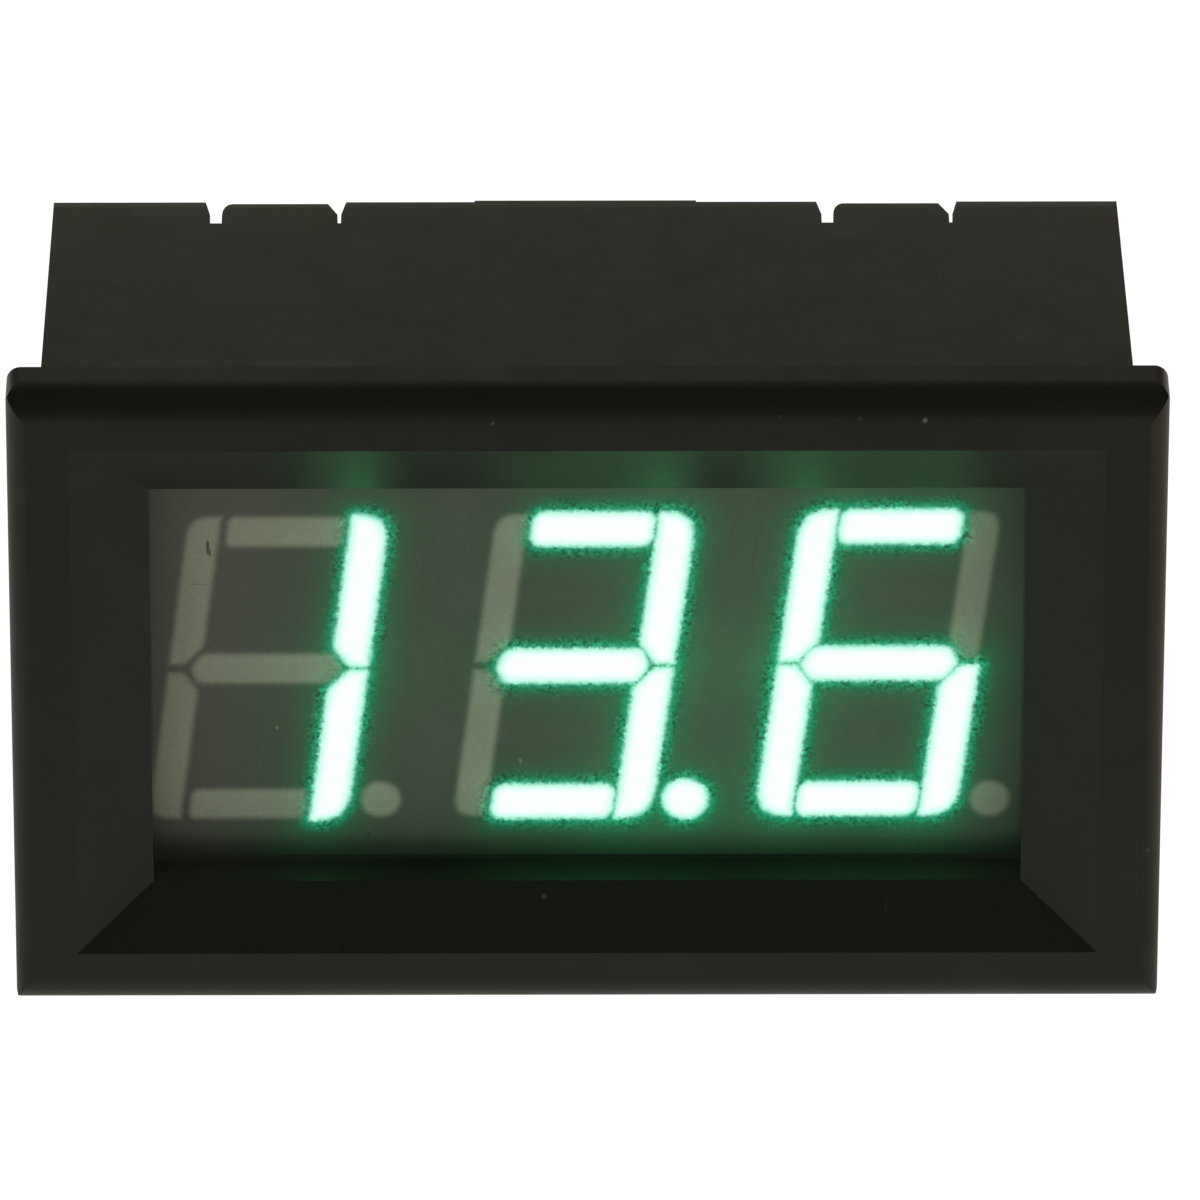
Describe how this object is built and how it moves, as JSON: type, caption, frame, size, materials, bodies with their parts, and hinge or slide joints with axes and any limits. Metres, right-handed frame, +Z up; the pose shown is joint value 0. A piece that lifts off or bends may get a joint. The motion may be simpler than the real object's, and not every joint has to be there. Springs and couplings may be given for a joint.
{
  "type": "digital panel meter",
  "caption": "Snap-in digital panel voltmeter: bevelled black bezel and sleeve, lit green segment display, side latches, and a rear circuit board with a calibration trimmer.",
  "frame": {"origin": "centre of the panel opening: the middle of the sleeve in the plane of the bezel's back face", "axes": "+X right and +Z up as the reader sees the digits, +Y into the panel, along the sleeve"},
  "size_m": [0.048, 0.0211, 0.029],
  "materials": {
    "black_abs": "fine moulded satin",
    "display_face": "flat grey print on the moulded face",
    "segment_unlit": "milky diffusing epoxy",
    "segment_lit": "milky diffusing epoxy, lit from behind",
    "led_board": "bare laminate",
    "potting": "cured clear-amber epoxy",
    "die": "polished crystal",
    "tinned_steel": "matt tin plate",
    "board_green": "green solder mask",
    "solder": "bright tin solder",
    "chip_black": "moulded epoxy, satin",
    "resistor_glaze": "black glaze on a white body",
    "capacitor_ceramic": "fired ceramic, satin",
    "trimmer_ceramic": "fired ceramic, satin",
    "trimmer_brass": "turned and plated"
  },
  "bodies": {
    "meter": {"housing": "black_abs", "display_shell": "display_face", "display_board": "led_board", "display_potting": "potting", "display_pins": "tinned_steel", "led_dice": "die", "left_segment_a": "segment_unlit", "left_segment_b": "segment_lit", "left_segment_c": "segment_lit", "left_segment_d": "segment_unlit", "left_segment_e": "segment_unlit", "left_segment_f": "segment_unlit", "left_segment_g": "segment_unlit", "left_point": "segment_unlit", "middle_segment_a": "segment_lit", "middle_segment_b": "segment_lit", "middle_segment_c": "segment_lit", "middle_segment_d": "segment_lit", "middle_segment_e": "segment_unlit", "middle_segment_f": "segment_unlit", "middle_segment_g": "segment_lit", "middle_point": "segment_lit", "right_segment_a": "segment_lit", "right_segment_b": "segment_unlit", "right_segment_c": "segment_lit", "right_segment_d": "segment_lit", "right_segment_e": "segment_lit", "right_segment_f": "segment_lit", "right_segment_g": "segment_lit", "right_point": "segment_unlit", "circuit_board": "board_green", "pin_solder": "solder", "wire_pads": "solder", "controller_body": "chip_black", "controller_leads": "tinned_steel", "regulator_body": "chip_black", "regulator_leads": "tinned_steel", "diode_body": "chip_black", "diode_leads": "tinned_steel", "chip_resistors": "resistor_glaze", "chip_capacitors": "capacitor_ceramic", "chip_terminals": "solder", "trimmer_body": "trimmer_ceramic", "trimmer_terminals": "tinned_steel"},
    "trimmer_rotor": {"trimmer_rotor": "trimmer_brass"}
  },
  "joints": [
    {"name": "trimmer_turn", "type": "hinge", "parent": "meter", "child": "trimmer_rotor", "pos_m": [0.0144, 0.0179, 0.0036], "axis": [0, 1, 0], "range_deg": [-130, 130]}
  ]
}
